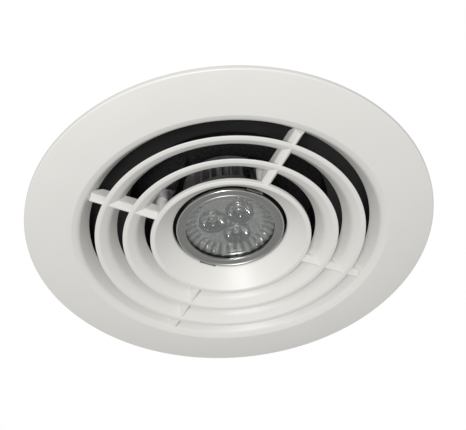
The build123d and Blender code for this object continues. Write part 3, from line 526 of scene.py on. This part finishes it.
dress(fired("steatite", (0.80, 0.77, 0.70), (0.45, 0.42, 0.36)), "lampholder")
brass = metal("turned_brass", (0.78, 0.60, 0.27), (0.52, 0.38, 0.16), 0.25, (1, 1, 0.1), 900.0)
dress(brass, "lampholder_contacts")
dress(screw_steel, "lampholder_screws", "lampholder_nuts")
red_sleeve = moulded("red_silicone", (0.42, 0.035, 0.025), (0.30, 0.020, 0.015), 0.45, 2500.0, 0.00002)
black_sleeve = moulded("black_silicone", (0.028, 0.028, 0.030), (0.016, 0.016, 0.017), 0.42, 2500.0, 0.00002)
dress(red_sleeve, "lampholder_lead_live")
dress(black_sleeve, "lampholder_lead_neutral")

# ---- Terminal box ----
# A dark grey moulded tray and lid on top of the strap, round a two-pole nylon terminal block with brass
# tubes. A clamp bar on two posts holds the supply cable.

box_grey = moulded("dark_grey_nylon", (0.075, 0.076, 0.078), (0.058, 0.059, 0.061), 0.5, 1600.0, 0.00004)
natural_nylon = moulded("natural_nylon", (0.74, 0.71, 0.63), (0.66, 0.63, 0.55), 0.42, 1400.0, 0.00003)
dress(box_grey, "terminal_box", "terminal_lid", "cable_clamp")
dress(natural_nylon, "terminal_block")
dress(brass, "terminal_tubes")
dress(screw_steel, "terminal_screws", "terminal_fixing_screw", "cable_clamp_screws")

# ---- Lamp body ----
# A die-cast aluminium heat sink, painted grey, with thirty fins. The LED board lies in its cup and the
# driver in its neck, under a white plastic base with two pins.


def cast_paint(name, colour, edge):
    """Paint on a casting: orange peel, a little sand-cast grit, and thin places that show paler."""
    finish = Finish(name)
    peel = finish.noise(700.0, 2.0)
    grit = finish.noise(2400.0, 4.0, 0.7)
    thin = (finish.noise(160.0, 5.0, 0.7) - 0.58).clamped() * 3
    return finish.finished(finish.shade(
        Base_Color=finish.blend(thin.clamped(), colour, edge),
        Metallic=thin * 0.4,
        Roughness=peel * 0.2 + 0.38,
        Normal=finish.bump(peel + grit * 0.5, 0.00004, 0.6),
    ))


dress(cast_paint("heat_sink_paint", (0.16, 0.16, 0.157), (0.30, 0.30, 0.29)), "lamp_heat_sink")
dress(moulded("white_pbt", (0.70, 0.69, 0.66), (0.64, 0.63, 0.59), 0.4), "lamp_base")
dress(pin_steel, "lamp_pins")


def board_mask(name, mask, track):
    """Solder mask over copper tracks, which show as paler bands."""
    finish = Finish(name)
    bands = finish.node("ShaderNodeTexWave", {"wave_type": "RINGS"}, {
        "Vector": finish.place(), "Scale": 120.0, "Distortion": 4.0, "Detail": 2.0})
    tracks = ((bands - 0.6) * 8).clamped()
    return finish.finished(finish.shade(
        Base_Color=finish.blend(tracks * 0.5, mask, track),
        Roughness=finish.noise(300.0) * 0.15 + 0.3,
        Normal=finish.bump(tracks, 0.00004, 0.6),
    ))


dress(board_mask("black_solder_mask", (0.022, 0.022, 0.023), (0.05, 0.05, 0.05)), "led_board")
dress(board_mask("green_solder_mask", (0.020, 0.14, 0.055), (0.05, 0.24, 0.10)), "driver_board")
dress(moulded("driver_components", (0.045, 0.045, 0.05), (0.025, 0.025, 0.03), 0.4), "driver_parts")

# ---- LED emitters ----
# Three white ceramic packages, each with a yellow phosphor tile sunk a little in its face. They are soldered
# to the board, one behind each lens.

lens_circle_r = 0.0079
lens_seat = 0.0076
lens_r = 0.0065
package_width, tile_half = 0.0030, 0.00115
emitter_low, emitter_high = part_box("led_emitters")
lens_turns = [radians(-172.5 + 120 * k) for k in range(3)]
emitters = bmesh.new()
for azimuth in lens_turns:
    package = bmesh.ops.create_cube(emitters, size=1.0)["verts"]
    bmesh.ops.scale(
        emitters, vec=(package_width, package_width, emitter_high.z - emitter_low.z), verts=package)
    package_faces = dict.fromkeys(f for v in package for f in v.link_faces)
    tile_faces = [f for f in package_faces if f.calc_center_median().z < -1e-5 and abs(f.normal.z) > 0.9]
    bmesh.ops.inset_region(emitters, faces=tile_faces, thickness=0.00045, depth=-0.0001)
    middle_z = (emitter_low.z + emitter_high.z) / 2
    place = Vector((lens_circle_r * cos(azimuth), lens_circle_r * sin(azimuth), middle_z))
    moved = [v for v in emitters.verts if v.co.length < 0.004]
    bmesh.ops.translate(emitters, vec=place, verts=moved)
bmesh.ops.bevel(emitters, geom=[e for e in emitters.edges if e.calc_face_angle(0) > 1.2], offset=0.00008,
                affect="EDGES", segments=2, profile=0.5, material=-1)
phosphor = Finish("phosphor_and_ceramic")
x, y, z = phosphor.axes()
near_tile = x * 0
for azimuth in lens_turns:
    across = x - lens_circle_r * cos(azimuth)
    along = y - lens_circle_r * sin(azimuth)
    spread = x.math("MAXIMUM", x.math("ABSOLUTE", across), x.math("ABSOLUTE", along))
    near_tile = near_tile + x.math("LESS_THAN", spread, tile_half)
phosphor_look = phosphor.finished(phosphor.shade(
    Base_Color=phosphor.blend(near_tile.clamped() * (phosphor.noise(900.0) * 0.3 + 0.8).clamped(),
                              (0.82, 0.82, 0.80), (0.80, 0.62, 0.12)),
    Roughness=phosphor.noise(500.0) * 0.2 + 0.4,
    Normal=phosphor.bump(phosphor.noise(3000.0), 0.00002, 0.5),
))
piece("led_packages", emitters, "lamp", "phosphor", phosphor_look, 35.0, "led_emitters")

# ---- Reflector ----
# A vacuum-metallised plastic dish. Its floor has three round openings for the lenses, and thirty-two flutes
# climb its wall to the cover glass. The hollows between them are darkened with painted shade.

window_r = 0.0208
glass_z = 0.0038
glass_back = 0.0048
cup_in = 0.0228
dish_r = 0.0152
flutes = 32
dish = bmesh.new()
rise = glass_back + 0.0003 - lens_seat
climb = (0.0, 0.2, 0.4, 0.6, 0.8, 1.0)
wall_points = [(dish_r + (window_r - dish_r) * t, lens_seat + rise * (t ** 1.5)) for t in climb]
turn(dish,
     [(0, lens_seat), (0.0075, lens_seat), (0.0148, lens_seat)] + wall_points
     + [(cup_in - 0.0002, glass_back + 0.0001), (cup_in - 0.0002, glass_back + 0.0010),
        (dish_r, lens_seat + 0.0008), (0, lens_seat + 0.0008)],
     None, flutes * 8)
for vert in dish.verts:
    reach = (hypot(vert.co.x, vert.co.y) - dish_r) / (window_r - dish_r)
    if 0.05 < reach < 1.01 and vert.co.z < lens_seat:
        wave = abs(cos(atan2(vert.co.y, vert.co.x) * flutes / 2))
        vert.co.z += 0.00085 * (1 - wave) * min(1.0, 1.6 * (1.02 - reach) + 0.45) * min(1.0, reach * 4)
opening_r = lens_r - 0.0009
openings = []
for azimuth in lens_turns:
    opening = bmesh.new()
    bmesh.ops.create_cone(
        opening, cap_ends=True, segments=48, radius1=opening_r, radius2=opening_r, depth=0.004)
    centre = (lens_circle_r * cos(azimuth), lens_circle_r * sin(azimuth), lens_seat)
    bmesh.ops.translate(opening, vec=centre, verts=opening.verts)
    openings.append(opening)
silvering = Finish("vacuum_silvering")
cloud = silvering.noise(220.0, 4.0, 0.6)
pinholes = (silvering.noise(1900.0, 2.0) - 0.72).clamped() * 8
x, y, z = silvering.axes()
crest = x.math("ABSOLUTE", x.math("COSINE", x.math("ARCTAN2", y, x) * (flutes / 2)))
on_wall = (((x * x + y * y) ** 0.5 - dish_r) * 900).clamped()
# Painted shade: the hollows between the flutes are darkened in the coat's colour. The cloud and pinholes are
# the coat's own flaws.
painted_shade_and_coat_flaws = ((1 - crest) ** 0.7 * on_wall * 0.85 + cloud * 0.3 + pinholes).clamped()
silver_look = silvering.finished(silvering.shade(
    Base_Color=silvering.blend(painted_shade_and_coat_flaws, (0.66, 0.66, 0.65), (0.09, 0.09, 0.088)),
    Metallic=1.0,
    Roughness=(cloud - 0.5) * 0.1 + 0.17 + pinholes * 0.2,
    Normal=silvering.bump(silvering.noise(500.0, 2.0), 0.00003, 0.35),
))
piece("fluted_reflector", combined([dish] + openings, "DIFFERENCE"), "lamp", "silver", silver_look, 50.0,
      "lamp_reflector")

# ---- Lenses ----
# Three clear acrylic collimators, one over each emitter: a polished cone with a recess for the emitter
# behind, and a domed middle and fine rings on the face.

lenses = bmesh.new()
for azimuth in lens_turns:
    lens = bmesh.new()
    turn(lens, [
        (0, 0.00640), (0.0007, 0.00648), (0.0013, 0.00675), (0.0017, 0.00715), (0.0019, 0.00735),
        (0.0022, 0.00700), (0.0026, 0.00660), (0.0031, 0.00645), (0.0034, 0.00668), (0.0037, 0.00672),
        (0.0041, 0.00646), (0.0044, 0.00668), (0.0047, 0.00672), (0.0051, 0.00646), (0.0054, 0.00668),
        (0.0057, 0.00672), (0.0061, 0.00645), (lens_r, 0.00650), (lens_r, lens_seat),
        (lens_r - 0.0010, lens_seat),
        (0.0045, 0.00890), (0.0026, 0.01065), (0.0017, 0.01070), (0.0013, 0.00920), (0, 0.00905),
    ], None, 64)
    bmesh.ops.translate(
        lens, vec=(lens_circle_r * cos(azimuth), lens_circle_r * sin(azimuth), 0), verts=lens.verts)
    held = bpy.data.meshes.new("lens")
    lens.to_mesh(held)
    lens.free()
    lenses.from_mesh(held)
    bpy.data.meshes.remove(held)
acrylic = Finish("clear_acrylic")
ripple = acrylic.noise(420.0, 2.0)
acrylic_look = acrylic.finished(acrylic.shade(
    Base_Color=acrylic.blend(ripple, (0.97, 0.98, 0.98), (0.93, 0.95, 0.95)),
    Transmission_Weight=1.0,
    IOR=1.49,
    Roughness=ripple * 0.01,
    Normal=acrylic.bump(ripple, 0.00004, 0.15),
))
piece("collimator_lenses", lenses, "lamp", "clear_lens", acrylic_look, 22.0, "tir_lenses")

# ---- Front ring and cover glass ----
# A spun ring in grey anodised aluminium clips over the casting's rim and holds a clear toughened disc. Its
# outer corner is polished bright, and the lip at the window a little.

lamp_r = 0.0250
ring_low, ring_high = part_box("lamp_front_ring")
ring = bmesh.new()
turn(ring, [
    (window_r, ring_low.z + 0.00045),
    (window_r + 0.0005, ring_low.z + 0.00030),
    (window_r + 0.0007, ring_low.z + 0.00055),
    (lamp_r - 0.0011, ring_low.z + 0.00050),
    (lamp_r - 0.0008, ring_low.z),
    (lamp_r, ring_low.z),
    (lamp_r, ring_high.z),
    (lamp_r - 0.0008, ring_high.z),
    (lamp_r - 0.0008, glass_z),
    (window_r, glass_z),
], [0.0001, 0.0001, 0.0001, 0.0001, 0.0002, 0.0003, 0.0002, 0.0001, 0, 0.0001])
anodised = Finish("grey_anodised_ring")
x, y, z = anodised.axes()
reach = ((x * x + y * y) ** 0.5)
outer_lip = ((reach - 0.0243) * 4000).clamped()
inner_lip = ((0.02125 - reach) * 5000).clamped() * 0.35
polished = (outer_lip + inner_lip).clamped()
turning = anodised.node(
    "ShaderNodeTexNoise", {"noise_dimensions": "1D"}, {"W": reach, "Scale": 9000.0, "Detail": 3.0})
haze = anodised.noise(150.0, 4.0, 0.6)
anodised_look = anodised.finished(anodised.shade(
    Base_Color=anodised.blend(polished, anodised.blend((haze * 0.8 + turning * 0.2).clamped(),
                                                       (0.36, 0.36, 0.35), (0.45, 0.45, 0.44)),
                              (0.66, 0.66, 0.65)),
    Metallic=1.0,
    Roughness=(0.42 + (turning - 0.5) * 0.15 + (haze - 0.5) * 0.1) * (1 - polished) + polished * 0.22,
    Normal=anodised.bump(turning, 0.00001, 0.4),
))
piece("front_ring", ring, "lamp", "lamp_metal", anodised_look, 35.0, "lamp_front_ring")

cover = bmesh.new()
cover_r, cover_mid_r = lamp_r - 0.0009, 0.0120
turn(cover, [
    (0, glass_z),
    (cover_mid_r, glass_z),
    (cover_r, glass_z),
    (cover_r, glass_back),
    (cover_mid_r, glass_back),
    (0, glass_back),
], [0, 0, 0.0002, 0.0002, 0, 0])
clear = Finish("clear_cover_glass")
smudge = clear.noise(45.0, 4.0, 0.65)
sheen = clear.node("ShaderNodeFresnel", {}, {"IOR": 1.45})
mirror = clear.node("ShaderNodeBsdfGlossy", {}, {"Color": (1, 1, 1, 1), "Roughness": smudge * 0.05 + 0.01})
through = clear.node("ShaderNodeBsdfTransparent", {}, {"Color": (0.975, 0.985, 0.98, 1)})
clear_look = clear.finished(clear.node("ShaderNodeMixShader", {}, {
    0: (sheen * 0.45 + (smudge - 0.6).clamped() * 0.03).clamped(), 1: through, 2: mirror}))
piece("cover_disc", cover, "lamp", "glass", clear_look, 35.0, "lamp_cover_glass")

# ---- Studio ----
# A pale floor well below the grille, soft white light from all round, a white backdrop, and one soft lamp
# below and behind the camera. The camera looks up at the grille's face from one side.

studio = Finish("studio_floor")
dust = studio.noise(3.0, 4.0)
studio.finished(studio.shade(
    Base_Color=studio.blend(dust, (0.62, 0.62, 0.615), (0.66, 0.66, 0.655)),
    Roughness=dust * 0.1 + 0.7,
))
floor_z = -1.25
floor_shape = bmesh.new()
bmesh.ops.create_grid(floor_shape, x_segments=8, y_segments=8, size=4.0)
bmesh.ops.translate(floor_shape, vec=(0, 0, floor_z), verts=floor_shape.verts)
floor_mesh = bpy.data.meshes.new("studio_floor")
floor_shape.to_mesh(floor_mesh)
floor_shape.free()
floor_mesh.materials.append(studio.material)
floor = bpy.data.objects.new("studio_floor", floor_mesh)
bpy.context.scene.collection.objects.link(floor)

scene = bpy.context.scene
scene.world = bpy.data.worlds.new("studio_air")
scene.world.use_nodes = True
light_level, backdrop_level = 0.58, 1.0
air = scene.world.node_tree
seen = air.nodes.new("ShaderNodeLightPath")
level = air.nodes.new("ShaderNodeMapRange")
level.inputs["To Min"].default_value = light_level
level.inputs["To Max"].default_value = backdrop_level
air.links.new(seen.outputs["Is Camera Ray"], level.inputs["Value"])
air.links.new(level.outputs["Result"], air.nodes["Background"].inputs["Strength"])
air.nodes["Background"].inputs["Color"].default_value = (1, 1, 1, 1)
scene.view_settings.view_transform = "Standard"


def soft_lamp(name, place, target, size, power):
    data = bpy.data.lights.new(name, "AREA")
    data.size = size
    data.energy = power
    lamp = bpy.data.objects.new(name, data)
    lamp.location = place
    lamp.rotation_mode = "QUATERNION"
    lamp.rotation_quaternion = (Vector(target) - Vector(place)).to_track_quat("-Z", "Y")
    scene.collection.objects.link(lamp)


soft_lamp("key_light", (-0.15, -0.75, -0.80), (0, 0, 0), 0.35, 9.3)

camera_place = Vector((0, -0.28687, -0.27909))
camera_ahead = Vector((0.00437, 0.70197, 0.71220))
camera_roll = radians(-4.62)
camera_data = bpy.data.cameras.new("camera")
camera_data.sensor_width = 36.0
camera_data.lens = 67.1
camera_data.clip_start = 0.01
camera = bpy.data.objects.new("camera", camera_data)
camera.location = camera_place
camera.rotation_mode = "QUATERNION"
camera.rotation_quaternion = camera_ahead.to_track_quat("-Z", "Y") @ Quaternion((0, 0, 1), camera_roll)
scene.collection.objects.link(camera)
scene.camera = camera

bpy.context.view_layer.update()
